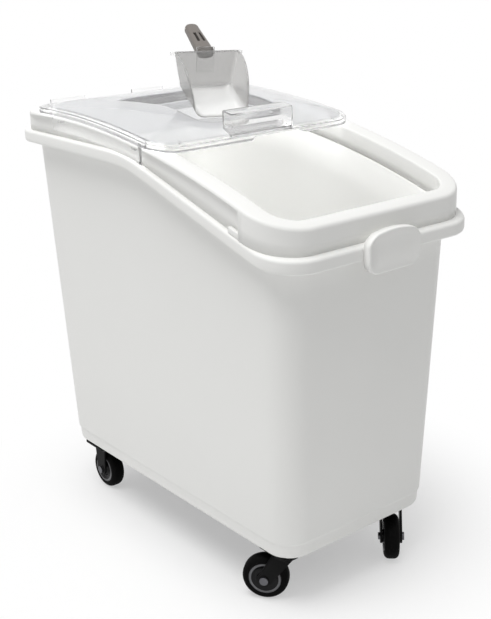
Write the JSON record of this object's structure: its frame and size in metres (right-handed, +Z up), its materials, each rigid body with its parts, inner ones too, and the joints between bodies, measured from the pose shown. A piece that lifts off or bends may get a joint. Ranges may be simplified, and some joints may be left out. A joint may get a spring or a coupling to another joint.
{
  "type": "rolling flour bin",
  "caption": "Tapered white ingredient bin on casters with a raised rear, arched rails, a clear sliding lid with a pull and a scoop pocket, and a clear scoop with a grey handle.",
  "frame": {"origin": "on the floor, under the middle of the bounding box", "axes": "+Z up, low front end with the label plate towards -Y, width along X"},
  "size_m": [0.4138, 0.7574, 0.8646],
  "materials": {
    "white_plastic": "satin moulded",
    "clear_lid": "clear, polished",
    "clear_scoop": "clear, polished",
    "handle_plastic": "satin moulded",
    "tyre_rubber": "matte",
    "hub_plastic": "moulded",
    "plated_steel": "zinc plated",
    "black_metal": "black powder coat"
  },
  "bodies": {
    "bin": {"tub": "white_plastic", "rim_frame": "white_plastic", "label_plate": "white_plastic", "rear_cover": "clear_lid", "front_left_mount": "black_metal", "front_left_screws": "plated_steel", "front_right_mount": "black_metal", "front_right_screws": "plated_steel", "rear_left_fork": "black_metal", "rear_left_screws": "plated_steel", "rear_left_axle": "plated_steel", "rear_right_fork": "black_metal", "rear_right_screws": "plated_steel", "rear_right_axle": "plated_steel"},
    "sliding_lid": {"sliding_lid": "clear_lid"},
    "scoop": {"scoop_bowl": "clear_scoop", "scoop_handle": "handle_plastic"},
    "front_left_swivel": {"front_left_fork": "black_metal", "front_left_axle": "plated_steel"},
    "front_left_wheel": {"front_left_hub": "hub_plastic", "front_left_tyre": "tyre_rubber"},
    "front_right_swivel": {"front_right_fork": "black_metal", "front_right_axle": "plated_steel"},
    "front_right_wheel": {"front_right_hub": "hub_plastic", "front_right_tyre": "tyre_rubber"},
    "rear_left_wheel": {"rear_left_hub": "hub_plastic", "rear_left_tyre": "tyre_rubber"},
    "rear_right_wheel": {"rear_right_hub": "hub_plastic", "rear_right_tyre": "tyre_rubber"}
  },
  "joints": [
    {"name": "lid_travel", "type": "hinge", "parent": "bin", "child": "sliding_lid", "pos_m": [0, 0.22125, -0.965], "axis": [1, 0, 0], "range_deg": [0, 8.52]},
    {"name": "scoop_lift", "type": "slide", "parent": "sliding_lid", "child": "scoop", "axis": [0, 0, 1], "range_m": [0, 0.15]},
    {"name": "front_left_swivel", "type": "hinge", "parent": "bin", "child": "front_left_swivel", "pos_m": [-0.11903, -0.26385, 0.0844], "axis": [0, 0, 1], "continuous": true},
    {"name": "front_left_roll", "type": "hinge", "parent": "front_left_swivel", "child": "front_left_wheel", "pos_m": [-0.13917, -0.23898, 0.038], "axis": [0.7771, 0.6293, 0], "continuous": true},
    {"name": "front_right_swivel", "type": "hinge", "parent": "bin", "child": "front_right_swivel", "pos_m": [0.11903, -0.26385, 0.0844], "axis": [0, 0, 1], "continuous": true},
    {"name": "front_right_roll", "type": "hinge", "parent": "front_right_swivel", "child": "front_right_wheel", "pos_m": [0.09762, -0.28763, 0.038], "axis": [-0.7431, 0.6691, 0], "continuous": true},
    {"name": "rear_left_roll", "type": "hinge", "parent": "bin", "child": "rear_left_wheel", "pos_m": [-0.12403, 0.25635, 0.038], "axis": [1, 0, 0], "continuous": true},
    {"name": "rear_right_roll", "type": "hinge", "parent": "bin", "child": "rear_right_wheel", "pos_m": [0.12403, 0.25635, 0.038], "axis": [1, 0, 0], "continuous": true}
  ]
}
